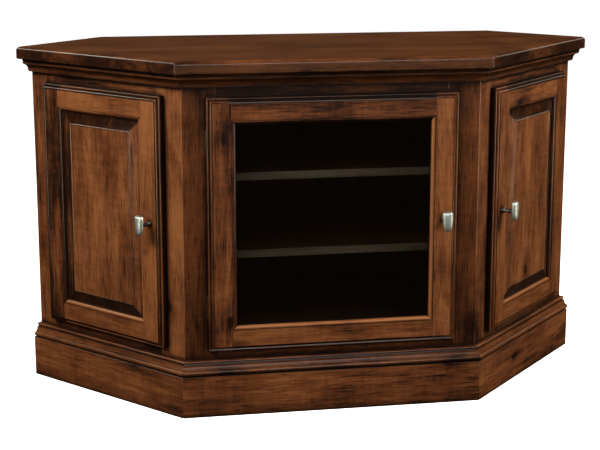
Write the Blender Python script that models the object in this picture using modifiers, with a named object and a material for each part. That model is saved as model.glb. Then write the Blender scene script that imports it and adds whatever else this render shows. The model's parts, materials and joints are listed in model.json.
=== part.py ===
"""Corner television cabinet: six-sided carcass, glazed centre door, two raised-panel wing doors.

Metres, +Z up. The front face looks towards -Y, and the two rear sides stand against the walls.
"""
import math

import bmesh
import bpy
from mathutils import Matrix

# Carcass plan, measured on the face frames
HEIGHT = 0.762
FRONT_WIDTH = 0.6306
WING_LENGTH = 0.4385
WING_ANGLE = math.radians(45)
DEPTH = 0.465
FRONT_Y = -0.2075
GAP = 0.0003

# Boards
FRAME_THICK = 0.019
SIDE_THICK = 0.016
BACK_THICK = 0.006
FRONT_STILE = 0.0693
WING_STILE = 0.067
TOP_RAIL_BOTTOM = 0.6635
LOW_RAIL_TOP = 0.1615
LOW_RAIL_BOTTOM = 0.0955
PARTITION_X = 0.2693

# Shelves
SHELF_THICK = 0.017
SHELF_TOPS = {"lower": 0.3465, "upper": 0.515}
SHELF_FRONT = 0.040
SHELF_BACK = 0.455
SHELF_TONGUE = 0.009
DADO = 0.005
SIDE_SHELF_TOP = 0.430
SIDE_SHELF_SETBACK = 0.025

# Top slab
SLAB_THICK = 0.0274
SLAB_OVERHANG = 0.0377
SLAB_REAR_OVERHANG = 0.0077
SLAB_ROUND = 0.0085
SLAB_LOWER_ROUND = 0.0022
SLAB_SETBACK = 0.0065
SLAB_FILLET = 0.0056
FILLET_DRAFT = 0.0004
CARCASS_TOP = HEIGHT - SLAB_THICK - SLAB_FILLET - GAP

# Mouldings and base
CROWN_BOTTOM = 0.7048
PLINTH_HEIGHT = 0.0905
PLINTH_THICK = 0.0192
PLINTH_EASE = 0.0012
PLINTH_PAST_END = 0.0043
BASE_CAP_BOTTOM = PLINTH_HEIGHT + GAP

# Doors
DOOR_BOTTOM = 0.1415
DOOR_TOP = 0.6835
DOOR_BACK = 0.0015
DOOR_FRONT = 0.019
CENTRE_DOOR_WIDTH = 0.532
WING_DOOR_WIDTH = 0.3445
WING_DOOR_START = 0.047
STILE = 0.050
RAIL = 0.047
STICKING = 0.0095
GROOVE_BACK = 0.0068
GROOVE_FRONT = 0.0114
GROOVE_DEPTH = 0.0092
PANEL_PLAY = 0.0012
PAST = 0.003

# Raised panels: tongue, hollow bevel, step up to a narrow rim, field just below it
PANEL_TONGUE = 0.0096
BEVEL_WIDTH = 0.0236
BEVEL_RISE = 0.0060
BEVEL_HOLLOW = 1.6
BEVEL_STEPS = 6
RIM_STEP = (0.0006, 0.0013)
RIM_WIDTH = 0.0016
FIELD_DROP = (0.0008, -0.0006)

# Hinges, let into the door's edge: in from that edge, and out from the face frame
PIN_INSET = 0.0035
PIN_OUT = 0.007
PIN_RADIUS = 0.0015
PIN_PLAY = 0.00008
PIN_END = 0.002
KNUCKLE_RADIUS = 0.0026
HINGE_HALF = 0.025
KNUCKLE_HALF = 0.008
HINGE_FROM_END = 0.095
FIXED_LEAF = ((-0.0024, 0.0189), (-0.0016, -0.0001))
MOVING_LEAF = ((0.0082, 0.0268), (0.0016, 0.0029))
WEB_HALF = 0.0009
WEB_LAP = 0.0012
WEB_SHORT = 0.0002
SEAT_PLAY = 0.0006
POCKET_OUT = 0.0102
POCKET_IN = 0.0078
POCKET_BACK_PLAY = 0.0011
POCKET_TIP_PLAY = 0.0004

# The arm that joins a moving leaf to its knuckle, in and out as the leaf is measured
ARM_NEAR = 0.0028
ARM_NECK = 0.0052
ARM_TIP = (0.0026, 0.0046)
ARM_TIP_OUT = 0.0056
ARM_LAP = 0.0008
ARM_SKIN = 0.0001

# Knobs
KNOB_FROM_EDGE = 0.030
KNOB_Z = 0.4125
KNOB_STEM = 0.027
KNOB_WIDTH = 0.0298
KNOB_HEIGHT = 0.0476
KNOB_THICK = 0.0117
KNOB_FOOT = 0.84
KNOB_CROWN = (0.66, 0.88)
KNOB_TOP_CREASE = 0.5
KNOB_FOOT_CREASE = 0.2
KNOB_LAP = 0.003
STEM_FOOT = 0.0068
STEM_WAIST = 0.0042
STEM_FLARE = 1.3

ARC_STEP = 15.0
ROUND_STEPS = 48
STEM_STEPS = 24
KNOB_SUBDIVISION = 2
WELD = 0.000001
FLAT = math.radians(0.1)
SHARP = math.radians(32)
MITRE = math.tan(WING_ANGLE / 2)
COS = math.cos(WING_ANGLE)
SIDES = ((-1, "left"), (1, "right"))
FINISHES = {
    "wood": ((0.115, 0.040, 0.018), 0.42, 0.0, 1.0),
    "dark": ((0.085, 0.032, 0.016), 0.6, 0.0, 1.0),
    "nickel": ((0.46, 0.44, 0.39), 0.3, 1.0, 1.0),
    "steel": ((0.30, 0.30, 0.31), 0.35, 1.0, 1.0),
    "glass": ((0.75, 0.80, 0.80), 0.05, 0.0, 0.35),
}
TURNS = {
    "X": Matrix(((0, 0, 1, 0), (1, 0, 0, 0), (0, 1, 0, 0), (0, 0, 0, 1))),
    "Y": Matrix.Rotation(math.pi / 2, 4, "X"),
    "Z": Matrix.Identity(4),
}


def clear_scene():
    for obj in list(bpy.data.objects):
        bpy.data.objects.remove(obj, do_unlink=True)


def add_collection(name):
    collection = bpy.data.collections.new(name)
    bpy.context.scene.collection.children.link(collection)
    return collection


clear_scene()
PARTS = add_collection("corner television cabinet")
CUTTERS = add_collection("cutters")


# Solids

def arc(centre, radius, start, end):
    """Points of a round stretch of an outline, with its angles in degrees."""
    steps = math.ceil(abs(end - start) / ARC_STEP)
    points = []
    for index in range(steps + 1):
        angle = math.radians(start + (end - start) * index / steps)
        points.append((centre[0] + radius * math.cos(angle), centre[1] + radius * math.sin(angle)))
    return points


def prism(outline, axis, start, end):
    """Solid of a flat outline: (Y, Z) points along X, (X, Z) along Y, or (X, Y) along Z."""
    curve = bpy.data.curves.new("outline", "CURVE")
    curve.dimensions = "2D"
    curve.fill_mode = "BOTH"
    curve.extrude = (end - start) / 2
    spline = curve.splines.new("POLY")
    spline.points.add(len(outline) - 1)
    spline.use_cyclic_u = True
    for point, (p, q) in zip(spline.points, outline):
        point.co = (p, q, 0.0, 1.0)
    guide = bpy.data.objects.new("outline", curve)
    mesh = bpy.data.meshes.new_from_object(guide)
    bpy.data.objects.remove(guide)
    bpy.data.curves.remove(curve)
    bm = bmesh.new()
    bm.from_mesh(mesh)
    bpy.data.meshes.remove(mesh)
    bmesh.ops.remove_doubles(bm, verts=bm.verts, dist=WELD)
    bmesh.ops.dissolve_limit(bm, angle_limit=FLAT, verts=bm.verts, edges=bm.edges)
    bmesh.ops.recalc_face_normals(bm, faces=bm.faces)
    bmesh.ops.transform(bm, matrix=TURNS[axis], verts=bm.verts)
    middle = [(start + end) / 2 * (letter == axis) for letter in "XYZ"]
    bmesh.ops.translate(bm, vec=middle, verts=bm.verts)
    return bm


def box(x0, x1, y0, y1, z0, z1):
    bm = bmesh.new()
    middle = Matrix.Translation(((x0 + x1) / 2, (y0 + y1) / 2, (z0 + z1) / 2))
    size = Matrix.Diagonal((abs(x1 - x0), abs(y1 - y0), abs(z1 - z0), 1.0))
    bmesh.ops.create_cube(bm, size=1.0, matrix=middle @ size)
    return bm


def cylinder(radius, z0, z1):
    bm = bmesh.new()
    middle = Matrix.Translation((0.0, 0.0, (z0 + z1) / 2))
    bmesh.ops.create_cone(
        bm, cap_ends=True, segments=ROUND_STEPS, radius1=radius, radius2=radius, depth=z1 - z0, matrix=middle,
    )
    return bm


def several(*pieces):
    """One mesh that holds separate bodies."""
    whole = bmesh.new()
    for piece in pieces:
        mesh = bpy.data.meshes.new("piece")
        piece.to_mesh(mesh)
        piece.free()
        whole.from_mesh(mesh)
        bpy.data.meshes.remove(mesh)
    return whole


def mitre(bm, end, slope):
    """Skews one end of an X prism, so that it meets its neighbour at the cabinet's corner."""
    for vert in bm.verts:
        if abs(vert.co.x - end) < WELD:
            vert.co.x += slope * vert.co.y


def step_in(bm, faces, inward, rise):
    bmesh.ops.inset_region(
        bm, faces=faces, thickness=inward, depth=rise, use_boundary=True, use_even_offset=True,
    )


def round_edges(bm, height, radius, segments):
    """Rounds a slab's horizontal edges at one height."""
    edges = [edge for edge in bm.edges if all(abs(vert.co.z - height) < WELD for vert in edge.verts)]
    bmesh.ops.bevel(bm, geom=edges, offset=radius, segments=segments, profile=0.5, affect="EDGES")


# Objects

def add_material(name, colour, rough, metal, alpha):
    mat = bpy.data.materials.new(name)
    mat.use_nodes = True
    shader = mat.node_tree.nodes["Principled BSDF"]
    shader.inputs["Base Color"].default_value = (*colour, 1.0)
    shader.inputs["Roughness"].default_value = rough
    shader.inputs["Metallic"].default_value = metal
    shader.inputs["Alpha"].default_value = alpha
    mat.diffuse_color = (*colour, alpha)
    return mat


def place(name, bm, collection, frame, parent=None, mirrored=False):
    """Object in a face's frame, or hung from a door's axis; mirrored swaps its left and right."""
    if mirrored:
        bmesh.ops.scale(bm, vec=(-1.0, 1.0, 1.0), verts=bm.verts)
        bmesh.ops.reverse_faces(bm, faces=bm.faces)
    mesh = bpy.data.meshes.new(name)
    bm.to_mesh(mesh)
    bm.free()
    obj = bpy.data.objects.new(name, mesh)
    collection.objects.link(obj)
    if parent:
        obj.parent = parent
    else:
        obj.matrix_world = frame
    return obj


def add_part(name, bm, finish, frame, parent=None, mirrored=False):
    obj = place(name, bm, PARTS, frame, parent, mirrored)
    obj.data.materials.append(add_material(name, *FINISHES[finish]))
    return obj


def add_boolean(target, tool, operation):
    tool.hide_render = True
    tool.display_type = "WIRE"
    step = target.modifiers.new(operation.lower(), "BOOLEAN")
    step.operation = operation
    step.solver = "EXACT"
    step.object = tool


def combine(target, bm, operation, parent=None, mirrored=False):
    """Cuts or fuses a body that is placed as the target is."""
    name = f"{target.name} {operation.lower()} {len(target.modifiers) + 1}"
    tool = place(name, bm, CUTTERS, target.matrix_world.copy(), parent, mirrored)
    add_boolean(target, tool, operation)


def shade_round(obj):
    obj.data.shade_smooth()
    obj.data.set_sharp_from_angle(angle=SHARP)


def front_frame():
    """Local X along the front face, Y into the cabinet."""
    return Matrix.Translation((0.0, FRONT_Y, 0.0))


def wing_frame(side):
    """Local X is side times the distance from the front corner, Y into the cabinet."""
    corner = Matrix.Translation((side * FRONT_WIDTH / 2, FRONT_Y, 0.0))
    return corner @ Matrix.Rotation(side * WING_ANGLE, 4, "Z")


def plan(front, wing, rear, back):
    """Six-sided outline, inset from the carcass faces by these amounts; negative ones overhang."""
    root = math.sqrt(2)
    half = FRONT_WIDTH / 2
    reach = WING_LENGTH * COS
    y_back = DEPTH - back
    right = [
        (half + front - wing * root, front),
        (half + reach - (wing + rear) / root, reach + (wing - rear) / root),
        (half + 2 * reach - rear * root - y_back, y_back),
    ]
    return right + [(-x, y) for x, y in reversed(right)]


# Outlines of the mouldings, as outward and up from their feet

def crown_outline():
    """Fillet, cove and square edge under the slab."""
    cove = arc((0.0245, 0.0052), 0.0120, 180, 90)
    top = [(0.0245, 0.0190), (0.0272, 0.0190), (0.0272, 0.0236), (GAP, 0.0236)]
    return [(GAP, 0.0), (0.0105, 0.0), (0.0105, 0.0030), (0.0125, 0.0030)] + cove + top


def base_cap_outline():
    """Half-round nosing, long hollow and small bead."""
    nosing = arc((0.0166, 0.0076), 0.0056, -90, 90)
    hollow = arc((0.0306, 0.0232), 0.0172, 215, 180)
    bead = arc((0.0092, 0.0285), 0.0027, -90, 90)
    return [(GAP, 0.0), (0.0160, 0.0)] + nosing + hollow + [(0.0100, 0.0232)] + bead + [(GAP, 0.0312)]


def plinth_outline():
    shoulder = [(PLINTH_THICK - PLINTH_EASE, PLINTH_HEIGHT), (GAP, PLINTH_HEIGHT)]
    return [(GAP, 0.0), (PLINTH_THICK, 0.0), (PLINTH_THICK, PLINTH_HEIGHT - PLINTH_EASE)] + shoulder


# Outlines of the door members, as in from the member's edge and out from the face frame

def outer_edge():
    """Bead, quirk and quarter-round up to the door's face."""
    bead = arc((0.0029, 0.0110), 0.0029, 180, 50)
    quarter = arc((0.0116, 0.0118), 0.0058, 170, 90)
    return bead + quarter + [(0.0122, 0.0176), (0.0122, DOOR_FRONT)]


def sticking():
    """Quirk and quarter-round down to the glass or the panel."""
    quarter = arc((0.0035, 0.0120), 0.0058, 90, 15)
    return [(0.0, DOOR_FRONT), (0.0, 0.0176)] + quarter + [(STICKING, 0.0135)]


def member_outline(flat_width):
    """Whole section of a stile or rail, with the groove for its infill."""
    inner = [(flat_width + u, v) for u, v in sticking()]
    sight = flat_width + STICKING
    floor = sight - GROOVE_DEPTH
    groove = [(sight, GROOVE_FRONT), (floor, GROOVE_FRONT), (floor, GROOVE_BACK), (sight, GROOVE_BACK)]
    return [(0.0, DOOR_BACK)] + outer_edge() + inner + groove + [(sight, DOOR_BACK)]


# Carcass

def add_top():
    outline = plan(-SLAB_OVERHANG, -SLAB_OVERHANG, -SLAB_REAR_OVERHANG, -SLAB_REAR_OVERHANG)
    underside = HEIGHT - SLAB_THICK
    bm = prism(outline, "Z", underside, HEIGHT)
    round_edges(bm, HEIGHT, SLAB_ROUND, 6)
    round_edges(bm, underside, SLAB_LOWER_ROUND, 2)
    bottom = [min(bm.faces, key=lambda face: face.calc_center_median().z)]
    step_in(bm, bottom, SLAB_SETBACK, 0.0)
    step_in(bm, bottom, FILLET_DRAFT, SLAB_FILLET)
    add_part("top_panel", bm, "wood", front_frame())


def add_moulding_run(name, outline, foot, past):
    """A front length and two wing lengths, mitred at the corners."""
    section = [(-out, foot + up) for out, up in outline]
    half = FRONT_WIDTH / 2 - GAP / 2
    front = prism(section, "X", -half, half)
    mitre(front, -half, MITRE)
    mitre(front, half, -MITRE)
    add_part(f"{name}_front", front, "wood", front_frame())
    for side, word in SIDES:
        wing = prism(section, "X", GAP / 2, WING_LENGTH + past)
        mitre(wing, GAP / 2, MITRE)
        add_part(f"{name}_{word}", wing, "wood", wing_frame(side), mirrored=side < 0)


def hinge_heights():
    return (DOOR_BOTTOM + HINGE_FROM_END, DOOR_TOP - HINGE_FROM_END)


def leaf_seats(hinged_x, inward):
    """Shallow recesses in a face frame for the fixed hinge leaves."""
    (near, far), (depth, _) = FIXED_LEAF
    x0, x1 = sorted((hinged_x + inward * (near - SEAT_PLAY), hinged_x + inward * (far + SEAT_PLAY)))
    half = HINGE_HALF + SEAT_PLAY
    return several(*[box(x0, x1, -PAST, GAP - depth, z - half, z + half) for z in hinge_heights()])


def add_corner_post(side, word):
    """Post that turns the corner from the front face to a wing."""
    half = FRONT_WIDTH / 2
    turn = WING_STILE * COS
    thick = FRAME_THICK * COS
    outline = [
        (half - FRONT_STILE, 0.0), (half, 0.0), (half + turn, turn), (half + turn - thick, turn + thick),
        (half - FRAME_THICK * MITRE, FRAME_THICK), (half - FRONT_STILE, FRAME_THICK),
    ]
    post = add_part(f"corner_post_{word}", prism(outline, "Z", 0.0, CARCASS_TOP), "wood", front_frame(),
                    mirrored=side < 0)
    if word == "left":
        combine(post, leaf_seats(-CENTRE_DOOR_WIDTH / 2, 1), "DIFFERENCE")


def add_wing_stile(side, word):
    stile = box(WING_LENGTH - WING_STILE, WING_LENGTH, 0.0, FRAME_THICK, 0.0, CARCASS_TOP)
    stile = add_part(f"wing_stile_{word}", stile, "wood", wing_frame(side), mirrored=side < 0)
    combine(stile, leaf_seats(WING_DOOR_START + WING_DOOR_WIDTH, -1), "DIFFERENCE", mirrored=side < 0)


def add_face_frames():
    levels = {"top": (TOP_RAIL_BOTTOM, CARCASS_TOP), "bottom": (LOW_RAIL_BOTTOM, LOW_RAIL_TOP)}
    opening = FRONT_WIDTH / 2 - FRONT_STILE - GAP
    for level, (z0, z1) in levels.items():
        rail = box(-opening, opening, 0.0, FRAME_THICK, z0, z1)
        add_part(f"front_{level}_rail", rail, "wood", front_frame())
    for side, word in SIDES:
        add_corner_post(side, word)
        add_wing_stile(side, word)
        for level, (z0, z1) in levels.items():
            rail = box(WING_STILE + GAP, WING_LENGTH - WING_STILE - GAP, 0.0, FRAME_THICK, z0, z1)
            add_part(f"wing_{level}_rail_{word}", rail, "wood", wing_frame(side), mirrored=side < 0)


def rear_edge(y, inset=0.0):
    """X where a rear side of the carcass reaches a depth."""
    return FRONT_WIDTH / 2 + 2 * WING_LENGTH * COS - inset * math.sqrt(2) - y


def add_rear_sides():
    """Boards from the wing stiles to the back, each facing a wall."""
    behind = (FRAME_THICK + GAP) * COS
    reach = WING_LENGTH * COS
    start = (FRONT_WIDTH / 2 + reach - behind, reach + behind)
    thick = SIDE_THICK * COS
    end = DEPTH - BACK_THICK - GAP
    rear = [(rear_edge(end), end), (rear_edge(end, SIDE_THICK), end)]
    outline = [start] + rear + [(start[0] - thick, start[1] - thick)]
    for side, word in SIDES:
        panel = prism(outline, "Z", 0.0, CARCASS_TOP)
        add_part(f"rear_side_panel_{word}", panel, "wood", front_frame(), mirrored=side < 0)


def add_partitions():
    """Uprights beside the centre bay, with a dado for each shelf."""
    end = DEPTH - BACK_THICK - GAP
    for side, word in SIDES:
        wall = box(PARTITION_X, PARTITION_X + SIDE_THICK, FRAME_THICK + GAP, end,
                   LOW_RAIL_TOP + GAP, CARCASS_TOP)
        partition = add_part(f"partition_{word}", wall, "dark", front_frame(), mirrored=side < 0)
        dadoes = []
        for top in SHELF_TOPS.values():
            foot = top - SHELF_THICK
            dadoes.append(box(PARTITION_X - PAST, PARTITION_X + DADO, SHELF_FRONT - GAP, DEPTH,
                              foot - GAP, foot + SHELF_TONGUE + GAP))
        combine(partition, several(*dadoes), "DIFFERENCE", mirrored=side < 0)


def add_centre_shelves():
    """Shelves whose lower halves run on into the dadoes as tongues."""
    wall = PARTITION_X - GAP
    tip = PARTITION_X + DADO - GAP
    for word, top in SHELF_TOPS.items():
        foot = top - SHELF_THICK
        shoulder = foot + SHELF_TONGUE
        right = [(tip, foot), (tip, shoulder), (wall, shoulder), (wall, top)]
        outline = right + [(-x, z) for x, z in reversed(right)]
        add_part(f"{word}_shelf", prism(outline, "Y", SHELF_FRONT, SHELF_BACK), "dark", front_frame())


def add_side_shelves():
    near = PARTITION_X + SIDE_THICK + GAP
    setback = FRAME_THICK + SIDE_SHELF_SETBACK
    _, wing_end, corner = plan(setback, setback, SIDE_THICK + GAP, BACK_THICK + GAP)[:3]
    front = (near, near - FRONT_WIDTH / 2 + setback * math.sqrt(2))
    for side, word in SIDES:
        outline = [front, wing_end, corner, (near, corner[1])]
        shelf = prism(outline, "Z", SIDE_SHELF_TOP - SHELF_THICK, SIDE_SHELF_TOP)
        add_part(f"side_shelf_{word}", shelf, "dark", front_frame(), mirrored=side < 0)


def add_bottom_and_back():
    deck = plan(FRAME_THICK + GAP, FRAME_THICK + GAP, SIDE_THICK + GAP, BACK_THICK + GAP)
    panel = prism(deck, "Z", LOW_RAIL_TOP - SHELF_THICK, LOW_RAIL_TOP)
    add_part("bottom_panel", panel, "dark", front_frame())
    inner = DEPTH - BACK_THICK
    right = [(rear_edge(inner), inner), (rear_edge(DEPTH), DEPTH)]
    sheet = prism(right + [(-x, y) for x, y in reversed(right)], "Z", 0.0, CARCASS_TOP)
    add_part("back_panel", sheet, "dark", front_frame())


# Doors, each modelled round its hinge pins: X along the door, Y into the cabinet

def door_x(u):
    """X of a place that lies in from the door's hinged edge."""
    return u - PIN_INSET


def door_y(v):
    """Y of a place that lies out from the face frame."""
    return PIN_OUT - v


def edge_waste(width):
    """What the moulding plane takes off a door's bottom and top edges."""
    profile = [(door_y(v), DOOR_BOTTOM + w) for w, v in outer_edge()]
    beyond = [
        (door_y(DOOR_FRONT + PAST), profile[-1][1]),
        (door_y(DOOR_FRONT + PAST), DOOR_BOTTOM - PAST),
        (profile[0][0], DOOR_BOTTOM - PAST),
    ]
    low = profile + beyond
    high = [(y, DOOR_BOTTOM + DOOR_TOP - z) for y, z in low]
    return several(*[prism(outline, "X", door_x(-PAST), door_x(width + PAST)) for outline in (low, high)])


def door_corners(width):
    """Sign and base of X, then of Z, at each corner of a door."""
    for x_sign, x_base in ((1, 0.0), (-1, width)):
        for z_sign, z_base in ((1, DOOR_BOTTOM), (-1, DOOR_TOP)):
            yield x_sign, x_base, z_sign, z_base


def corner_waste(outline, corners):
    """Prisms through the door's front, with the outline measured in from each corner."""
    pieces = []
    for x_sign, x_base, z_sign, z_base in corners:
        points = [(door_x(x_base + x_sign * p), z_base + z_sign * q) for p, q in outline]
        pieces.append(prism(points, "Y", door_y(DOOR_FRONT + PAST), door_y(0.0)))
    return several(*pieces)


def stile_waste(width, x_sign):
    """The stile's bead beyond its mitres, where the rails butt against it."""
    over = STICKING + PAST
    outline = [(STILE, -PAST), (STILE, RAIL), (STILE + over, RAIL + over), (STILE + over, -PAST)]
    return corner_waste(outline, [corner for corner in door_corners(width) if corner[0] == x_sign])


def rail_waste(width, z_sign):
    """The rail's bead beyond its mitres, where the stile's bead runs past."""
    over = STICKING + PAST
    mitre_line = [(STILE + GAP, RAIL), (STILE + GAP + over, RAIL + over)]
    outline = [(STILE - PAST, RAIL)] + mitre_line + [(STILE - PAST, RAIL + over)]
    return corner_waste(outline, [corner for corner in door_corners(width) if corner[2] == z_sign])


def hinge_pockets():
    """Room for the knuckles at the door's edge, and a seat for each moving leaf."""
    (_, far), (back, front) = MOVING_LEAF
    low = back - POCKET_BACK_PLAY
    high = front + WEB_SHORT
    tip = far + POCKET_TIP_PLAY
    seat = [(-PAST, low), (tip, low), (tip, high)]
    outline = seat + [(POCKET_IN, high), (POCKET_IN, POCKET_OUT), (-PAST, POCKET_OUT)]
    points = [(door_x(u), door_y(v)) for u, v in outline]
    half = HINGE_HALF + SEAT_PLAY + WEB_SHORT
    return several(*[prism(points, "Z", z - half, z + half) for z in hinge_heights()])


def add_member(name, bm, axis, mirrored, *wastes):
    member = add_part(name, bm, "wood", None, axis, mirrored)
    for waste in wastes:
        combine(member, waste, "DIFFERENCE", axis, mirrored)


def add_door_frame(word, axis, width, mirrored):
    """Two full-height stiles, and two rails between them."""
    section = member_outline(STILE)
    hinge_section = [(door_x(u), door_y(v)) for u, v in section]
    knob_section = [(door_x(width - u), door_y(v)) for u, v in section]
    add_member(f"{word}_door_hinge_stile", prism(hinge_section, "Z", DOOR_BOTTOM, DOOR_TOP), axis, mirrored,
               edge_waste(width), stile_waste(width, 1), hinge_pockets())
    add_member(f"{word}_door_knob_stile", prism(knob_section, "Z", DOOR_BOTTOM, DOOR_TOP), axis, mirrored,
               edge_waste(width), stile_waste(width, -1))
    for level, z_sign, z_base in (("bottom", 1, DOOR_BOTTOM), ("top", -1, DOOR_TOP)):
        section = [(door_y(v), z_base + z_sign * w) for w, v in member_outline(RAIL)]
        rail = prism(section, "X", door_x(STILE + GAP), door_x(width - STILE - GAP))
        add_member(f"{word}_door_{level}_rail", rail, axis, mirrored, rail_waste(width, z_sign))


def infill(width):
    """Sheet that stands in the grooves of a door's frame with a little play."""
    side = STILE + STICKING - GROOVE_DEPTH + PANEL_PLAY
    end = RAIL + STICKING - GROOVE_DEPTH + PANEL_PLAY
    return box(door_x(side), door_x(width - side), door_y(GROOVE_FRONT - GAP), door_y(GROOVE_BACK + GAP),
               DOOR_BOTTOM + end, DOOR_TOP - end)


def panel_steps():
    """Inward and outward amounts of each step from the panel's edge to its field."""
    steps = [(PANEL_TONGUE, 0.0)]
    for index in range(BEVEL_STEPS):
        low = (index / BEVEL_STEPS) ** BEVEL_HOLLOW
        high = ((index + 1) / BEVEL_STEPS) ** BEVEL_HOLLOW
        steps.append((BEVEL_WIDTH / BEVEL_STEPS, BEVEL_RISE * (high - low)))
    return steps + [RIM_STEP, (RIM_WIDTH, 0.0), FIELD_DROP]


def add_raised_panel(word, axis, width, mirrored):
    panel = infill(width)
    face = [min(panel.faces, key=lambda face: face.calc_center_median().y)]
    for inward, rise in panel_steps():
        step_in(panel, face, inward, rise)
    add_part(f"{word}_door_raised_panel", panel, "wood", None, axis, mirrored)


def add_knob_stem(name, x, axis, mirrored):
    """Turned foot and waisted stem; its profile runs from the head down to the door."""
    top = KNOB_STEM + KNOB_LAP
    neck = arc((STEM_FOOT, STEM_FOOT * STEM_FLARE), STEM_FOOT - STEM_WAIST, 180, 240)
    profile = [(0.0, top), (STEM_WAIST * STEM_FLARE, top), (STEM_WAIST, top / 2)] + neck
    profile += [(STEM_FOOT, KNOB_LAP), (STEM_FOOT, 0.0), (0.0, 0.0)]
    mesh = bpy.data.meshes.new(name)
    points = [(radius, 0.0, out) for radius, out in profile]
    mesh.from_pydata(points, [(index, index + 1) for index in range(len(points) - 1)], [])
    stem = bpy.data.objects.new(name, mesh)
    CUTTERS.objects.link(stem)
    stem.parent = axis
    stem.location = (-x if mirrored else x, door_y(DOOR_FRONT + GAP), KNOB_Z)
    stem.rotation_euler.x = math.pi / 2
    turned = stem.modifiers.new("turned", "SCREW")
    turned.steps = STEM_STEPS
    turned.render_steps = STEM_STEPS
    turned.use_merge_vertices = True
    turned.merge_threshold = WELD
    return stem


def knob_cage(x, back):
    """Coarse upright block, narrower at its foot and towards its crown."""
    half_width = KNOB_WIDTH / 2
    half_height = KNOB_HEIGHT / 2
    cage = box(x - half_width, x + half_width, back - KNOB_THICK, back,
               KNOB_Z - half_height, KNOB_Z + half_height)
    for vert in cage.verts:
        wide, tall = KNOB_CROWN if vert.co.y < back - KNOB_THICK / 2 else (1.0, 1.0)
        if vert.co.z < KNOB_Z:
            wide *= KNOB_FOOT
        vert.co.x = x + (vert.co.x - x) * wide
        vert.co.z = KNOB_Z + (vert.co.z - KNOB_Z) * tall
    creased = cage.edges.layers.float.new("crease_edge")
    for edge in cage.edges:
        at_top = all(vert.co.z > KNOB_Z for vert in edge.verts)
        edge[creased] = KNOB_TOP_CREASE if at_top else KNOB_FOOT_CREASE
    return cage


def add_knob(word, axis, width, mirrored):
    """Upright rounded head on a turned stem."""
    x = door_x(width - KNOB_FROM_EDGE)
    back = door_y(DOOR_FRONT + GAP) - KNOB_STEM
    knob = add_part(f"{word}_door_knob", knob_cage(x, back), "nickel", None, axis, mirrored)
    soft = knob.modifiers.new("soft", "SUBSURF")
    soft.levels = KNOB_SUBDIVISION
    soft.render_levels = KNOB_SUBDIVISION
    add_boolean(knob, add_knob_stem(f"{word} knob stem", x, axis, mirrored), "UNION")
    shade_round(knob)


def add_fixed_leaf(name, z, frame, mirrored):
    """Plate on the face frame, with two webs, two knuckles and the pin."""
    (near, far), (back, front) = FIXED_LEAF
    plate = box(door_x(near), door_x(far), door_y(front), door_y(back), z - HINGE_HALF, z + HINGE_HALF)
    leaf = add_part(name, plate, "steel", frame, mirrored=mirrored)
    for low, high in ((-HINGE_HALF, -KNUCKLE_HALF - GAP), (KNUCKLE_HALF + GAP, HINGE_HALF)):
        web = box(-WEB_HALF, WEB_HALF, door_y(PIN_OUT - WEB_LAP), door_y(back / 2),
                  z + low + WEB_SHORT, z + high - WEB_SHORT)
        combine(leaf, web, "UNION", mirrored=mirrored)
        combine(leaf, cylinder(KNUCKLE_RADIUS, z + low, z + high), "UNION", mirrored=mirrored)
    pin = cylinder(PIN_RADIUS, z - HINGE_HALF + PIN_END, z + HINGE_HALF - PIN_END)
    combine(leaf, pin, "UNION", mirrored=mirrored)
    shade_round(leaf)


def add_moving_leaf(name, z, axis, mirrored):
    """Plate in the door's back, with an arm and the bored middle knuckle."""
    (near, far), (back, front) = MOVING_LEAF
    plate = box(door_x(near), door_x(far), door_y(front), door_y(back), z - HINGE_HALF, z + HINGE_HALF)
    leaf = add_part(name, plate, "steel", None, axis, mirrored)
    low = back + ARM_SKIN
    high = front - ARM_SKIN
    root = [(ARM_NEAR, low), (near + ARM_LAP, low), (near + ARM_LAP, high), (ARM_NECK, high)]
    tip = [(u, ARM_TIP_OUT) for u in reversed(ARM_TIP)]
    points = [(door_x(u), door_y(v)) for u, v in root + tip]
    half = KNUCKLE_HALF - WEB_SHORT
    combine(leaf, prism(points, "Z", z - half, z + half), "UNION", axis, mirrored)
    combine(leaf, cylinder(KNUCKLE_RADIUS, z - KNUCKLE_HALF, z + KNUCKLE_HALF), "UNION", axis, mirrored)
    bore = cylinder(PIN_RADIUS + PIN_PLAY, z - KNUCKLE_HALF - PAST, z + KNUCKLE_HALF + PAST)
    combine(leaf, bore, "DIFFERENCE", axis, mirrored)
    shade_round(leaf)


def add_axis(word, frame, x):
    """Empty on a door's hinge pins; the door's pieces hang from it."""
    axis = bpy.data.objects.new(f"{word} door axis", None)
    PARTS.objects.link(axis)
    axis.matrix_world = frame @ Matrix.Translation((x, -PIN_OUT, 0.0))
    return axis


def add_door(word, frame, hinge_x, width, mirrored):
    axis = add_axis(word, frame, hinge_x)
    add_door_frame(word, axis, width, mirrored)
    if word == "centre":
        add_part("centre_door_glass", infill(width), "glass", None, axis)
    else:
        add_raised_panel(word, axis, width, mirrored)
    add_knob(word, axis, width, mirrored)
    for z, level in zip(hinge_heights(), ("lower", "upper")):
        add_fixed_leaf(f"{word}_{level}_hinge_frame_leaf", z, axis.matrix_world.copy(), mirrored)
        add_moving_leaf(f"{word}_{level}_hinge_door_leaf", z, axis, mirrored)


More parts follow.
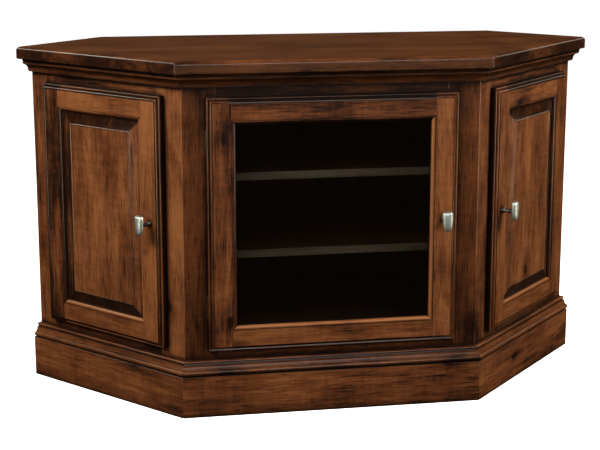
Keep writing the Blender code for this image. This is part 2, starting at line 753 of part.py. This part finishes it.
add_top()
add_moulding_run("crown_moulding", crown_outline(), CROWN_BOTTOM, 0.0)
add_moulding_run("plinth_board", plinth_outline(), 0.0, PLINTH_PAST_END)
add_moulding_run("base_cap_moulding", base_cap_outline(), BASE_CAP_BOTTOM, 0.0)
add_face_frames()
add_rear_sides()
add_partitions()
add_centre_shelves()
add_side_shelves()
add_bottom_and_back()
wing_hinge = WING_DOOR_START + WING_DOOR_WIDTH - PIN_INSET
add_door("centre", front_frame(), PIN_INSET - CENTRE_DOOR_WIDTH / 2, CENTRE_DOOR_WIDTH, False)
add_door("left", wing_frame(-1), -wing_hinge, WING_DOOR_WIDTH, False)
add_door("right", wing_frame(1), wing_hinge, WING_DOOR_WIDTH, True)
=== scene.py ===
"""Looks of a corner television cabinet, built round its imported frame.

Metres, +Z up. Each board is remade from its frame part with eased edges and a grain of its own. The knobs
become smooth castings, and the hinge leaves get their screws. The glass keeps its frame part.
"""
import json
import math
import random

import bmesh
import bpy
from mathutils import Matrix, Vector


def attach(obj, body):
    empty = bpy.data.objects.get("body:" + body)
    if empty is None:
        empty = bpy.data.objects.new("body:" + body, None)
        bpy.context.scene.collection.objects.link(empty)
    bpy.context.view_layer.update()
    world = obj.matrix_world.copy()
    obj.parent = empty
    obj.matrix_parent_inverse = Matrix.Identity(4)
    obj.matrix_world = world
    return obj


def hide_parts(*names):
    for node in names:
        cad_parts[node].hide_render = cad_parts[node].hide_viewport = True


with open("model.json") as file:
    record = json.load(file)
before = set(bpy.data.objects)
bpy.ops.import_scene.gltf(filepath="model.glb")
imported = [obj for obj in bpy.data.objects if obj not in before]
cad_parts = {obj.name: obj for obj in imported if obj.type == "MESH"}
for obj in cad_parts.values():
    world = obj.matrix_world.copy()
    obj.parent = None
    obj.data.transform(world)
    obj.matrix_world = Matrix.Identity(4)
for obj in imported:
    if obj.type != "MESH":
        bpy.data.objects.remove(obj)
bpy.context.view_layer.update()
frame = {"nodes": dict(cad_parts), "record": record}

SLOT_OF = {part["node"]: part["material_slot"] for part in frame["record"]["subparts"]}
BODY_OF = {node: body for body, nodes in frame["record"]["behaviour"]["bodies"].items() for node in nodes}

# Boards: corners nearer than WELD are joined, and edges that turn by more than SHARP are eased. The grain
# runs level in a board whose name holds one of the words, and runs up in the others.
WELD = 1e-6
SHARP = math.radians(35)
EASE = 0.0008
EASE_SEGMENTS = 2
WING_ANGLE = math.radians(45)
LENGTHWISE = ("rail", "moulding", "plinth", "shelf", "top_panel", "bottom_panel")

# Which way a face looks, as cosines of its lean from an axis
FLAT_LEAN = math.cos(math.radians(4))
SIDE_LEAN = math.cos(math.radians(75))
MOSTLY = 0.5
STRAIGHT = 0.9
LEVEL = 0.05

# Knobs: the head's depth from its front, behind which the stem is darkened as painted shade
KNOB_HEAD_DEPTH = 0.0125
KNOB_SMOOTHING = 2

# Hinge screws: radius and height of each ring of the domed head, then the slot and the place in the leaf
SCREW_RINGS = ((0.0029, -0.0001), (0.0027, 0.00012), (0.0019, 0.00025), (0.0009, 0.0003))
SCREW_SLOT_HALF = 0.0003
SCREW_STEPS = 8
SCREW_FROM_EDGE = 0.0072
SCREW_RISE = 0.015

# Each board lies at a random place in the wood, up to WOOD_REACH from its origin, and varies in tone
WOOD_REACH = 9.0
TONE_SPREAD = 0.02

# Layers of the wood's figure: noise cells per metre across and along the grain, then the noise's detail,
# roughness and distortion. FIGURE_MIDDLE is about the middle of their weighted sum.
FIGURE_LAYERS = {
    "clouds": (13.0, 5.0, 3.0, 0.55, 0.4),
    "bands": (75.0, 8.0, 4.0, 0.58, 0.3),
    "ripples": (26.0, 90.0, 2.0, 0.5, 0.4),
    "streaks": (380.0, 22.0, 3.0, 0.65, 0.0),
    "pores": (1300.0, 110.0, 2.0, 0.6, 0.0),
}
FIGURE_WEIGHTS = {"clouds": 0.66, "bands": 0.50, "ripples": 0.20, "streaks": 0.55, "pores": 0.24}
FIGURE_MIDDLE = 1.070

# Gradings as (start, end, low, high): dark flecks in the streaks, then the heart and halo of a knot, and
# which cells hold one. Knot cells are counted per metre, across and along the grain.
FLECKS = (0.42, 0.30, 0.0, 0.12)
KNOT_HEART = (0.02, 0.09, 0.30, 0.0)
KNOT_HALO = (0.06, 0.30, 0.13, 0.0)
KNOT_CHANCE = (0.66, 0.74, 0.0, 1.0)
KNOT_CELLS = (11.0, 5.0, 0.0)

# Tone, from 0 to 1: what wood gets in a deep hollow, where it is darkened as painted shade, how much more it
# gets in the open, and where each colour lies above the darkest, which is a share of the deep colour
HOLLOW_SHADE_REACH = 0.055
HOLLOW_SHADE_TONE = 0.27
UNSHADED_GAIN = 0.26
DARKEST_SHARE = 0.35
DEEP_PLACE = 0.28
MIDDLE_PLACE = 0.50
LIGHT_PLACE = 0.78

# Dark glaze and painted shade left in the corners, and the relief and polish of the finish
CORNER_REACH = 0.010
CORNER_POWER = 2.4
STREAK_ROUGHNESS = 0.22
PORE_HEIGHT = 0.5
WOOD_BUMP = {"Strength": 0.15, "Distance": 0.0003}
WOOD_COAT_ROUGHNESS = 0.20
WOOD_SPECULAR = 0.10

# Metal and glass: noise cells per metre along X, Y and Z
METAL_CLOUDS = (90.0, 90.0, 60.0)
METAL_LINES = (2200.0, 2200.0, 160.0)
METAL_PLACES = (0.3, 0.7)
LINE_ROUGHNESS = 0.16
METAL_BUMP = {"Strength": 0.08, "Distance": 0.0002}
GLASS_SMEARS = (9.0, 9.0, 5.0)
GLASS_COLOUR = (0.93, 0.95, 0.94, 1.0)
SMEAR_ROUGHNESS = 0.03

# Camera: a small shift keeps the cabinet's uprights closer to parallel
CAMERA_PLACE = (-0.485, -2.802, 1.082)
CAMERA_YAW = math.radians(9.08)
CAMERA_PITCH = math.radians(10.41)
CAMERA_LENS = 77.23
CAMERA_SHIFT = -0.15

# Floor and surround: white to the camera, while the cabinet gets a faint warm light from all round
FLOOR_HALF = 30.0
FLOOR_CLOUDS = (2.0, 2.0, 2.0)
FLOOR_SHADES = [(0.3, (0.80, 0.80, 0.79)), (0.7, (0.83, 0.83, 0.82))]
FLOOR_ROUGHNESS = 0.85
WHITE = (1.0, 1.0, 1.0, 1.0)
AMBIENT = 0.03
AMBIENT_COLOUR = (1.0, 0.55, 0.22, 1.0)

# Lamps: place, width, height, power, colour, and the kinds of rays that don't see the lamp
LAMP_TARGET = Vector((0.0, 0.0, 0.40))
DAYLIGHT = (1.0, 0.97, 0.93)
WARM = (1.0, 0.92, 0.74)
LAMPS = {
    "left lamp": ((-2.0, -1.1, 2.2), 1.0, 1.0, 80.0, DAYLIGHT, ()),
    "right lamp": ((2.0, -1.1, 2.2), 1.0, 1.0, 80.0, DAYLIGHT, ()),
    "front lamp": ((0.4, -3.2, 1.4), 1.6, 1.0, 30.0, DAYLIGHT, ("transmission",)),
    "left strip": ((-2.0, -1.7, 0.6), 0.4, 1.6, 30.0, WARM, ("diffuse", "transmission")),
    "right strip": ((2.2, -1.0, 0.6), 0.4, 1.6, 30.0, WARM, ("diffuse", "transmission")),
    "left edge lamp": ((-3.05, 0.6, 2.57), 0.8, 0.4, 26.0, WARM, ("diffuse", "transmission")),
    "right edge lamp": ((3.0, 1.2, 1.76), 0.8, 0.4, 4.0, WARM, ("diffuse", "transmission")),
    "back lamp": ((0.0, 2.8, 1.8), 2.0, 1.0, 60.0, DAYLIGHT, ("glossy",)),
}

# Woods: figure is how strongly the layers show, and coat is the weight of the clear coat
SHOW_WOOD = {
    "deep": (0.019, 0.0060, 0.0027),
    "middle": (0.120, 0.0365, 0.0112),
    "light": (0.262, 0.094, 0.029),
    "glaze_and_shade": (0.008, 0.0028, 0.0011),
    "roughness": 0.36,
    "coat": 0.03,
    "figure": 1.0,
}
# The top's wood is darker and less red than the rest as painted shade, and shows less figure
SHADED_TOP_WOOD = dict(SHOW_WOOD, middle=(0.108, 0.0375, 0.0115), light=(0.230, 0.092, 0.030), figure=0.45)
POLISHED_WOOD = dict(SHOW_WOOD, roughness=0.20, coat=0.4, figure=0.7)
# Eased edges: lighter wood where the finish is rubbed through, and painted highlight lines along them
RUBBED_AND_HIGHLIT_WOOD = {
    "deep": (0.030, 0.012, 0.006),
    "middle": (0.150, 0.060, 0.026),
    "light": (0.280, 0.130, 0.060),
    "glaze_and_shade": (0.008, 0.003, 0.0015),
    "roughness": 0.16,
    "coat": 0.5,
    "figure": 0.6,
}
# Inner wood: a dark stain, made near black as painted shade inside the cabinet
INNER_WOOD_AND_SHADE = {
    "deep": (0.0045, 0.0018, 0.0008),
    "middle": (0.0165, 0.0066, 0.0028),
    "light": (0.0380, 0.0160, 0.0070),
    "glaze_and_shade": (0.0030, 0.0012, 0.0006),
    "roughness": 0.50,
    "coat": 0.0,
    "figure": 0.7,
}
BACK_WOOD = {
    "deep": (0.045, 0.022, 0.011),
    "middle": (0.130, 0.070, 0.036),
    "light": (0.240, 0.145, 0.080),
    "glaze_and_shade": (0.020, 0.010, 0.005),
    "roughness": 0.55,
    "coat": 0.0,
    "figure": 0.8,
}
# Shelf fronts: lighter and greyer than the inner wood, as painted light that they catch through the glass
LIT_SHELF_FRONT_WOOD = {
    "deep": (0.050, 0.036, 0.025),
    "middle": (0.086, 0.065, 0.047),
    "light": (0.130, 0.100, 0.076),
    "glaze_and_shade": (0.020, 0.014, 0.010),
    "roughness": 0.50,
    "coat": 0.0,
    "figure": 0.7,
}

# How much lighter or darker than the others a board is, by its stain and by painted light and shade
# Painted shade darkens the top, crowns, posts and rails under the slab; painted light brightens the knob
# stiles
BOARD_STAIN_LIGHT_AND_SHADE = {
    "top_panel": -0.14,
    "crown_moulding_front": -0.05,
    "crown_moulding_left": -0.10,
    "crown_moulding_right": -0.10,
    "corner_post_left": -0.12,
    "corner_post_right": -0.12,
    "front_top_rail": -0.12,
    "base_cap_moulding_front": -0.08,
    "plinth_board_front": -0.02,
    "plinth_board_left": 0.05,
    "plinth_board_right": 0.03,
    "centre_door_hinge_stile": -0.01,
    "centre_door_knob_stile": 0.12,
    "centre_door_top_rail": -0.12,
    "centre_door_bottom_rail": -0.07,
    "left_door_hinge_stile": -0.16,
    "left_door_knob_stile": 0.12,
    "left_door_top_rail": 0.09,
    "right_door_raised_panel": 0.04,
}

# Painted shade and light on a face against its board: the slab's wing edges and the posts' wing faces
SLAB_WING_TONE = -0.10
POST_WING_TONES = {"corner_post_left": 0.22, "corner_post_right": 0.08}

# The same for a door member's sides, outer profile and inner profile, and for a raised panel's slopes
SIDE_TONE = -0.42
LIT_SIDE_TONES = {"right_door_knob_stile": -0.24}
OUTER_TONE = -0.30
LIT_OUTER_TONES = {
    "centre_door_hinge_stile": -0.10,
    "centre_door_knob_stile": -0.20,
    "right_door_knob_stile": 0.0,
}
INNER_LEAN = {"top_rail": "down", "bottom_rail": "up", "hinge_stile": "knob", "knob_stile": "hinge"}
INNER_TONES = {"top_rail": -0.20, "bottom_rail": 0.26, "hinge_stile": -0.16, "knob_stile": 0.26}
PANEL_TONES = {"up": -0.24, "down": -0.36, "knob": 0.0, "hinge": -0.20}


def fill_socket(tree, socket, value):
    """Links a socket to another node's output, or sets it to a constant."""
    if isinstance(value, bpy.types.NodeSocket):
        tree.links.new(value, socket)
    else:
        socket.default_value = value


def shader_node(tree, kind, inputs=(), **settings):
    """Node with its settings, and its sockets linked or set."""
    made = tree.nodes.new(kind)
    for name, value in settings.items():
        setattr(made, name, value)
    for socket, value in dict(inputs).items():
        fill_socket(tree, made.inputs[socket], value)
    return made


def set_shader(tree, shader, **values):
    """Fills a shader's sockets, each named with _ for a space."""
    for name, value in values.items():
        fill_socket(tree, shader.inputs[name.replace("_", " ")], value)


def arithmetic(tree, operation, first, second, third=0.0):
    inputs = {0: first, 1: second, 2: third}
    return shader_node(tree, "ShaderNodeMath", inputs, operation=operation).outputs[0]


def stretched(tree, vector, scale):
    made = shader_node(tree, "ShaderNodeVectorMath", {0: vector, 1: scale}, operation="MULTIPLY")
    return made.outputs[0]


def noise(tree, vector, detail=3.0, roughness=0.5, distortion=0.0):
    inputs = {
        "Vector": vector,
        "Scale": 1.0,
        "Detail": detail,
        "Roughness": roughness,
        "Distortion": distortion,
    }
    return shader_node(tree, "ShaderNodeTexNoise", inputs).outputs["Fac"]


def graded(tree, value, start, end, low, high):
    """Value that turns smoothly from low to high between start and end."""
    inputs = {"Value": value, "From Min": start, "From Max": end, "To Min": low, "To Max": high}
    made = shader_node(tree, "ShaderNodeMapRange", inputs, interpolation_type="SMOOTHSTEP")
    return made.outputs["Result"]


def ramp(tree, factor, stops):
    """Colour that blends through the stops, each a place and a colour."""
    made = shader_node(tree, "ShaderNodeValToRGB", {"Fac": factor})
    points = made.color_ramp.elements
    while len(points) < len(stops):
        points.new(stops[-1][0])
    for point, (place, colour) in zip(points, stops):
        point.position = place
        point.color = (*colour, 1.0)
    return made.outputs["Color"]


def blend_colour(tree, factor, first, second):
    """Mix of two colours, whose sockets are numbered because their names are shared."""
    inputs = {"Factor": factor, 6: first, 7: second}
    return shader_node(tree, "ShaderNodeMix", inputs, data_type="RGBA").outputs[2]


def occlusion(tree, reach):
    """How open the surface is to its surroundings, from 0 in a corner to 1."""
    made = shader_node(tree, "ShaderNodeAmbientOcclusion", {"Distance": reach}, samples=8)
    return made.outputs["AO"]


def bump(tree, height, relief):
    """Normal that shows a height as relief."""
    return shader_node(tree, "ShaderNodeBump", dict(relief, Height=height)).outputs["Normal"]


def new_material(name):
    mat = bpy.data.materials.new(name)
    mat.use_nodes = True
    return mat, mat.node_tree, mat.node_tree.nodes["Principled BSDF"]


def knots(tree, grain):
    """Darkness of the few knots in a board, each with a wide soft halo."""
    parts = shader_node(tree, "ShaderNodeSeparateXYZ", {"Vector": grain}).outputs
    flat = shader_node(tree, "ShaderNodeCombineXYZ", {"X": parts["X"], "Y": parts["Z"]}).outputs["Vector"]
    inputs = {"Vector": stretched(tree, flat, KNOT_CELLS), "Scale": 1.0}
    cell = shader_node(tree, "ShaderNodeTexVoronoi", inputs, voronoi_dimensions="2D")
    chance = shader_node(tree, "ShaderNodeSeparateColor", {"Color": cell.outputs["Color"]}).outputs["Red"]
    heart = graded(tree, cell.outputs["Distance"], *KNOT_HEART)
    halo = graded(tree, cell.outputs["Distance"], *KNOT_HALO)
    depth = arithmetic(tree, "ADD", heart, halo)
    return arithmetic(tree, "MULTIPLY", depth, graded(tree, chance, *KNOT_CHANCE))


def figure_layer(tree, grain, across, along, detail, roughness, distortion):
    """Noise with its own size across and along the grain."""
    return noise(tree, stretched(tree, grain, (across, across, along)), detail, roughness, distortion)


def wood_figure(tree, grain, layers):
    """Lightness of the figure, about zero: the weighted layers less dark flecks and knots."""
    figured = -FIGURE_MIDDLE
    for name, weight in FIGURE_WEIGHTS.items():
        figured = arithmetic(tree, "MULTIPLY_ADD", layers[name], weight, figured)
    figured = arithmetic(tree, "SUBTRACT", figured, graded(tree, layers["streaks"], *FLECKS))
    return arithmetic(tree, "SUBTRACT", figured, knots(tree, grain))


def stained_wood(name, deep, middle, light, glaze_and_shade, roughness, coat, figure):
    """Stained maple: clouds, bands, ripples and fine streaks, with knots, dark glaze and painted shade in
    corners.
    """
    mat, tree, shader = new_material(name)
    grain = shader_node(tree, "ShaderNodeAttribute", attribute_name="grain").outputs["Vector"]
    # The stored tone: each board's stain with its painted light and shade
    board = shader_node(tree, "ShaderNodeAttribute", attribute_name="tone").outputs["Fac"]
    layers = {layer: figure_layer(tree, grain, *numbers) for layer, numbers in FIGURE_LAYERS.items()}
    tone = arithmetic(tree, "MULTIPLY_ADD", wood_figure(tree, grain, layers), figure, board)
    # Painted shade: wood is darker where it is less open, as under the slab and round the doors
    painted_hollow_shade = arithmetic(tree, "MULTIPLY_ADD", occlusion(tree, HOLLOW_SHADE_REACH), UNSHADED_GAIN, HOLLOW_SHADE_TONE)
    tone = arithmetic(tree, "ADD", tone, painted_hollow_shade)
    darkest = tuple(DARKEST_SHARE * value for value in deep)
    stops = [(0.0, darkest), (DEEP_PLACE, deep), (MIDDLE_PLACE, middle), (LIGHT_PLACE, light)]
    # Dark glaze with painted shade: tight corners and gaps turn to the glaze colour
    corner = arithmetic(tree, "POWER", occlusion(tree, CORNER_REACH), CORNER_POWER)
    colour = blend_colour(tree, corner, (*glaze_and_shade, 1.0), ramp(tree, tone, stops))
    rough = arithmetic(tree, "MULTIPLY_ADD", layers["streaks"], STREAK_ROUGHNESS, roughness)
    height = arithmetic(tree, "MULTIPLY_ADD", layers["pores"], PORE_HEIGHT, layers["streaks"])
    set_shader(tree, shader, Base_Color=colour, Roughness=rough, Normal=bump(tree, height, WOOD_BUMP))
    set_shader(tree, shader, Coat_Weight=coat, Coat_Roughness=WOOD_COAT_ROUGHNESS)
    set_shader(tree, shader, Specular_IOR_Level=WOOD_SPECULAR)
    return mat


def brushed_metal(name, colour, roughness, blotch):
    """Metal with fine brush lines and cloudy patches, the darkest of them blotch times as bright."""
    mat, tree, shader = new_material(name)
    place = shader_node(tree, "ShaderNodeTexCoord").outputs["Object"]
    clouds = noise(tree, stretched(tree, place, METAL_CLOUDS), detail=4.0, roughness=0.6)
    lines = noise(tree, stretched(tree, place, METAL_LINES), detail=2.0)
    shades = (tuple(blotch * value for value in colour), colour)
    shade = ramp(tree, clouds, list(zip(METAL_PLACES, shades)))
    rough = arithmetic(tree, "MULTIPLY_ADD", lines, LINE_ROUGHNESS, roughness)
    set_shader(tree, shader, Base_Color=shade, Roughness=rough, Normal=bump(tree, lines, METAL_BUMP))
    set_shader(tree, shader, Metallic=1.0)
    return mat


def clear_glass(name):
    """Clear glass with a faint smear."""
    mat, tree, shader = new_material(name)
    place = shader_node(tree, "ShaderNodeTexCoord").outputs["Object"]
    smear = noise(tree, stretched(tree, place, GLASS_SMEARS))
    rough = arithmetic(tree, "MULTIPLY", smear, SMEAR_ROUGHNESS)
    set_shader(tree, shader, Base_Color=GLASS_COLOUR, Roughness=rough, IOR=1.45)
    set_shader(tree, shader, Transmission_Weight=1.0, Specular_IOR_Level=0.04)
    return mat


MATERIALS = {
    "stained_wood": stained_wood("stained wood", **SHOW_WOOD),
    "dark_inner_wood": stained_wood("dark inner wood with painted shade", **INNER_WOOD_AND_SHADE),
    "clear_glass": clear_glass("clear glass"),
    "satin_nickel": brushed_metal("satin nickel", (0.53, 0.59, 0.55), roughness=0.38, blotch=0.8),
    "hinge_steel": brushed_metal("hinge steel", (0.13, 0.10, 0.08), roughness=0.34, blotch=0.6),
}
SHADED_KNOB_STEM = brushed_metal("knob stem with painted shade", (0.12, 0.11, 0.10), roughness=0.30, blotch=0.6)
LIT_SHELF_FRONT = stained_wood("shelf front with painted light", **LIT_SHELF_FRONT_WOOD)
RUBBED_EDGE_AND_HIGHLIGHT = stained_wood("rubbed edge and painted highlight", **RUBBED_AND_HIGHLIT_WOOD)
POLISHED_PROFILE = stained_wood("polished profile", **POLISHED_WOOD)
SHADED_TOP_BOARD = stained_wood("top board with painted shade", **SHADED_TOP_WOOD)
PLAIN_BACK = stained_wood("plain back board", **BACK_WOOD)


def facing(node):
    """Turn about Z from the front face to the face that a board stands on."""
    words = node.split("_")
    if words[0] == "left" or words[-1] == "left":
        return -WING_ANGLE
    if words[0] == "right" or words[-1] == "right":
        return WING_ANGLE
    return 0.0


def board_axes(node):
    """Unit vectors across, through and along the grain."""
    turn = 0.0 if "partition" in node else facing(node)
    along_face = Vector((math.cos(turn), math.sin(turn), 0.0))
    through = Vector((-math.sin(turn), math.cos(turn), 0.0))
    up = Vector((0.0, 0.0, 1.0))
    if any(word in node for word in LENGTHWISE):
        return up, through, along_face
    return along_face, through, up


def lean_of(node, slope):
    """Which way a sloping face of a door looks: up, down, to the knob's side or to the hinges' side."""
    if abs(slope.z) > MOSTLY:
        return "up" if slope.z > 0.0 else "down"
    to_right = slope.x > 0.0
    return "hinge" if to_right == node.startswith("right") else "knob"


def face_light_and_shade(node, normal):
    """How light a face is against its board: painted light and shade on wing faces, sides, profiles and
    slopes.
    """
    outward = -board_axes(node)[1]
    front = normal.dot(outward)
    if node in POST_WING_TONES and front > FLAT_LEAN:
        return POST_WING_TONES[node]
    if node == "top_panel" and abs(normal.x) > MOSTLY:
        return SLAB_WING_TONE
    if "door" not in node or abs(front) > FLAT_LEAN:
        return 0.0
    if abs(front) < SIDE_LEAN:
        return LIT_SIDE_TONES.get(node, SIDE_TONE)
    lean = lean_of(node, (normal - outward * front).normalized())
    member = node.split("_door_")[1]
    if member == "raised_panel":
        return PANEL_TONES[lean]
    if lean == INNER_LEAN[member]:
        return INNER_TONES[member]
    return LIT_OUTER_TONES.get(node, OUTER_TONE)


def mark_grain(mesh, node):
    """Stores where each vertex lies in its board's wood, and how light each face is."""
    draw = random.Random(node)
    start = Vector([draw.uniform(-WOOD_REACH, WOOD_REACH) for _ in range(3)])
    lightness = BOARD_STAIN_LIGHT_AND_SHADE.get(node, 0.0) + draw.uniform(-TONE_SPREAD, TONE_SPREAD)
    axes = board_axes(node)
    mesh.attributes.new("grain", "FLOAT_VECTOR", "POINT")
    mesh.attributes.new("tone", "FLOAT", "FACE")
    grain = mesh.attributes["grain"].data
    tone = mesh.attributes["tone"].data
    for index, vertex in enumerate(mesh.vertices):
        grain[index].vector = start + Vector([axis.dot(vertex.co) for axis in axes])
    for index, face in enumerate(mesh.polygons):
        tone[index].value = lightness + face_light_and_shade(node, face.normal)


def merged(node):
    """Frame part's mesh with its corners joined."""
    bm = bmesh.new()
    bm.from_mesh(frame["nodes"][node].data)
    bmesh.ops.remove_doubles(bm, verts=bm.verts, dist=WELD)
    return bm


def add_piece(node, bm):
    """Piece that stands for a frame part and moves with its body."""
    mesh = bpy.data.meshes.new(f"fine_{node}")
    bm.to_mesh(mesh)
    bm.free()
    mesh.shade_smooth()
    mesh.set_sharp_from_angle(angle=SHARP)
    mesh.materials.append(MATERIALS[SLOT_OF[node]])
    piece = bpy.data.objects.new(f"fine_{node}", mesh)
    bpy.context.scene.collection.objects.link(piece)
    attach(piece, BODY_OF[node])
    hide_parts(node)
    return piece


def ease_edges(piece, material_index):
    """Rounds a board's sharp edges a little, in one of its own materials."""
    ease = piece.modifiers.new("eased edges", "BEVEL")
    ease.width = EASE
    ease.segments = EASE_SEGMENTS
    ease.limit_method = "ANGLE"
    ease.angle_limit = SHARP
    ease.material = material_index


def even_shading(piece):
    """Keeps large flat faces flat beside their eased edges."""
    even = piece.modifiers.new("even shading", "WEIGHTED_NORMAL")
    even.keep_sharp = True


def face_with(mesh, material, toward):
    """Gives the faces that look one way along Y a material of their own."""
    mesh.materials.append(material)
    for face in mesh.polygons:
        if face.normal.y * toward > STRAIGHT:
            face.material_index = len(mesh.materials) - 1


def polish_profiles(mesh, node):
    """Gives a board's profiles a brighter polish, and of a raised panel's slopes only those that look up."""
    outward = -board_axes(node)[1]
    mesh.materials.append(POLISHED_PROFILE)
    for face in mesh.polygons:
        dull_slope = "raised_panel" in node and face.normal.z < LEVEL
        if SIDE_LEAN < abs(face.normal.dot(outward)) < FLAT_LEAN and not dull_slope:
            face.material_index = len(mesh.materials) - 1


def add_board(node):
    """Board with its grain, its finishes and softly eased edges."""
    piece = add_piece(node, merged(node))
    mesh = piece.data
    mark_grain(mesh, node)
    if node in ("lower_shelf", "upper_shelf"):
        face_with(mesh, LIT_SHELF_FRONT, -1)
    elif node == "back_panel":
        face_with(mesh, PLAIN_BACK, 1)
    elif SLOT_OF[node] == "stained_wood":
        polish_profiles(mesh, node)
        # Eased edges get rubbed wood with painted highlights
        mesh.materials.append(RUBBED_EDGE_AND_HIGHLIGHT)
    if node == "top_panel":
        mesh.materials[0] = SHADED_TOP_BOARD
    ease_edges(piece, len(mesh.materials) - 1)
    even_shading(piece)


def add_knob(node):
    """Smooth cast knob whose stem is darkened as painted shade."""
    piece = add_piece(node, merged(node))
    outward = -board_axes(node)[1]
    front = max(outward.dot(vertex.co) for vertex in piece.data.vertices)
    piece.data.materials.append(SHADED_KNOB_STEM)
    for face in piece.data.polygons:
        if outward.dot(face.center) < front - KNOB_HEAD_DEPTH:
            face.material_index = 1
    smooth = piece.modifiers.new("smooth casting", "SUBSURF")
    smooth.levels = KNOB_SMOOTHING
    smooth.render_levels = KNOB_SMOOTHING


def screw_half(bm, centre, across, along, outward):
    """Half of a domed screw head, beside its slot."""
    rows = []
    for radius, height in SCREW_RINGS:
        spread = math.acos(SCREW_SLOT_HALF / radius)
        row = []
        for step in range(SCREW_STEPS + 1):
            angle = spread * (2.0 * step / SCREW_STEPS - 1.0)
            flat = across * (radius * math.cos(angle)) + along * (radius * math.sin(angle))
            row.append(bm.verts.new(centre + flat + outward * height))
        rows.append(row)
    faces = [bm.faces.new(rows[0]), bm.faces.new(rows[-1])]
    faces.append(bm.faces.new([row[0] for row in rows] + [row[-1] for row in reversed(rows)]))
    for lower, upper in zip(rows, rows[1:]):
        for step in range(SCREW_STEPS):
            faces.append(bm.faces.new((lower[step], lower[step + 1], upper[step + 1], upper[step])))
    bmesh.ops.recalc_face_normals(bm, faces=faces)


def add_leaf(node):
    """Hinge leaf with two slotted screws in the face that shows when its door is open."""
    bm = merged(node)
    axis, through, up = board_axes(node)
    inward = -axis if node.startswith("right") else axis
    outward = -through if "frame_leaf" in node else through
    far = max(inward.dot(vertex.co) for vertex in bm.verts)
    level = max(outward.dot(vertex.co) for vertex in bm.verts if inward.dot(vertex.co) > far - WELD)
    heights = [vertex.co.z for vertex in bm.verts]
    middle = (max(heights) + min(heights)) / 2
    draw = random.Random(node)
    for rise in (-SCREW_RISE, SCREW_RISE):
        centre = inward * (far - SCREW_FROM_EDGE) + outward * level + up * (middle + rise)
        turn = draw.uniform(0.0, math.pi)
        across = inward * math.cos(turn) + up * math.sin(turn)
        along = up * math.cos(turn) - inward * math.sin(turn)
        screw_half(bm, centre, across, along, outward)
        screw_half(bm, centre, -across, along, outward)
    even_shading(add_piece(node, bm))


def finish_in_place(node):
    """Keeps a frame part as it is, in its finished material."""
    slots = frame["nodes"][node].data.materials
    slots.clear()
    slots.append(MATERIALS[SLOT_OF[node]])


def dress(node):
    """Gives a frame part its finished look, by what it is."""
    if "wood" in SLOT_OF[node]:
        add_board(node)
    elif node.endswith("knob"):
        add_knob(node)
    elif node.endswith("leaf"):
        add_leaf(node)
    else:
        finish_in_place(node)


def add_camera():
    data = bpy.data.cameras.new("camera")
    data.lens = CAMERA_LENS
    data.shift_y = CAMERA_SHIFT
    camera = bpy.data.objects.new("camera", data)
    camera.location = CAMERA_PLACE
    camera.rotation_euler = (math.pi / 2 - CAMERA_PITCH, 0.0, -CAMERA_YAW)
    bpy.context.scene.collection.objects.link(camera)
    bpy.context.scene.camera = camera


def add_floor():
    """Pale floor that the object neither reflects nor is lit by."""
    bm = bmesh.new()
    bmesh.ops.create_grid(bm, x_segments=1, y_segments=1, size=FLOOR_HALF)
    mesh = bpy.data.meshes.new("floor")
    bm.to_mesh(mesh)
    bm.free()
    mat, tree, shader = new_material("pale floor")
    place = shader_node(tree, "ShaderNodeTexCoord").outputs["Object"]
    shade = ramp(tree, noise(tree, stretched(tree, place, FLOOR_CLOUDS)), FLOOR_SHADES)
    set_shader(tree, shader, Base_Color=shade, Roughness=FLOOR_ROUGHNESS)
    set_shader(tree, shader, Emission_Color=WHITE, Emission_Strength=1.0)
    mesh.materials.append(mat)
    floor = bpy.data.objects.new("floor", mesh)
    bpy.context.scene.collection.objects.link(floor)
    floor.visible_diffuse = False
    floor.visible_glossy = False
    floor.visible_transmission = False


def add_surround():
    """World that is white to the camera and faintly warm to everything else."""
    world = bpy.data.worlds.new("surround")
    world.use_nodes = True
    sky = world.node_tree
    seen = shader_node(sky, "ShaderNodeLightPath").outputs["Is Camera Ray"]
    background = sky.nodes["Background"]
    strength = arithmetic(sky, "MULTIPLY_ADD", seen, 1.0 - AMBIENT, AMBIENT)
    fill_socket(sky, background.inputs["Strength"], strength)
    fill_socket(sky, background.inputs["Color"], blend_colour(sky, seen, AMBIENT_COLOUR, WHITE))
    bpy.context.scene.world = world
    bpy.context.scene.view_settings.view_transform = "Standard"


def add_lamp(name, place, width, height, power, colour, unseen_by):
    """Soft lamp that looks at the cabinet's middle."""
    data = bpy.data.lights.new(name, "AREA")
    data.shape = "RECTANGLE"
    data.size = width
    data.size_y = height
    data.energy = power
    data.color = colour
    lamp = bpy.data.objects.new(name, data)
    lamp.location = place
    lamp.rotation_euler = (LAMP_TARGET - Vector(place)).to_track_quat("-Z", "Y").to_euler()
    for rays in unseen_by:
        setattr(lamp, f"visible_{rays}", False)
    bpy.context.scene.collection.objects.link(lamp)


add_camera()
add_floor()
add_surround()
for lamp_name, settings in LAMPS.items():
    add_lamp(lamp_name, *settings)
for node_name in SLOT_OF:
    dress(node_name)
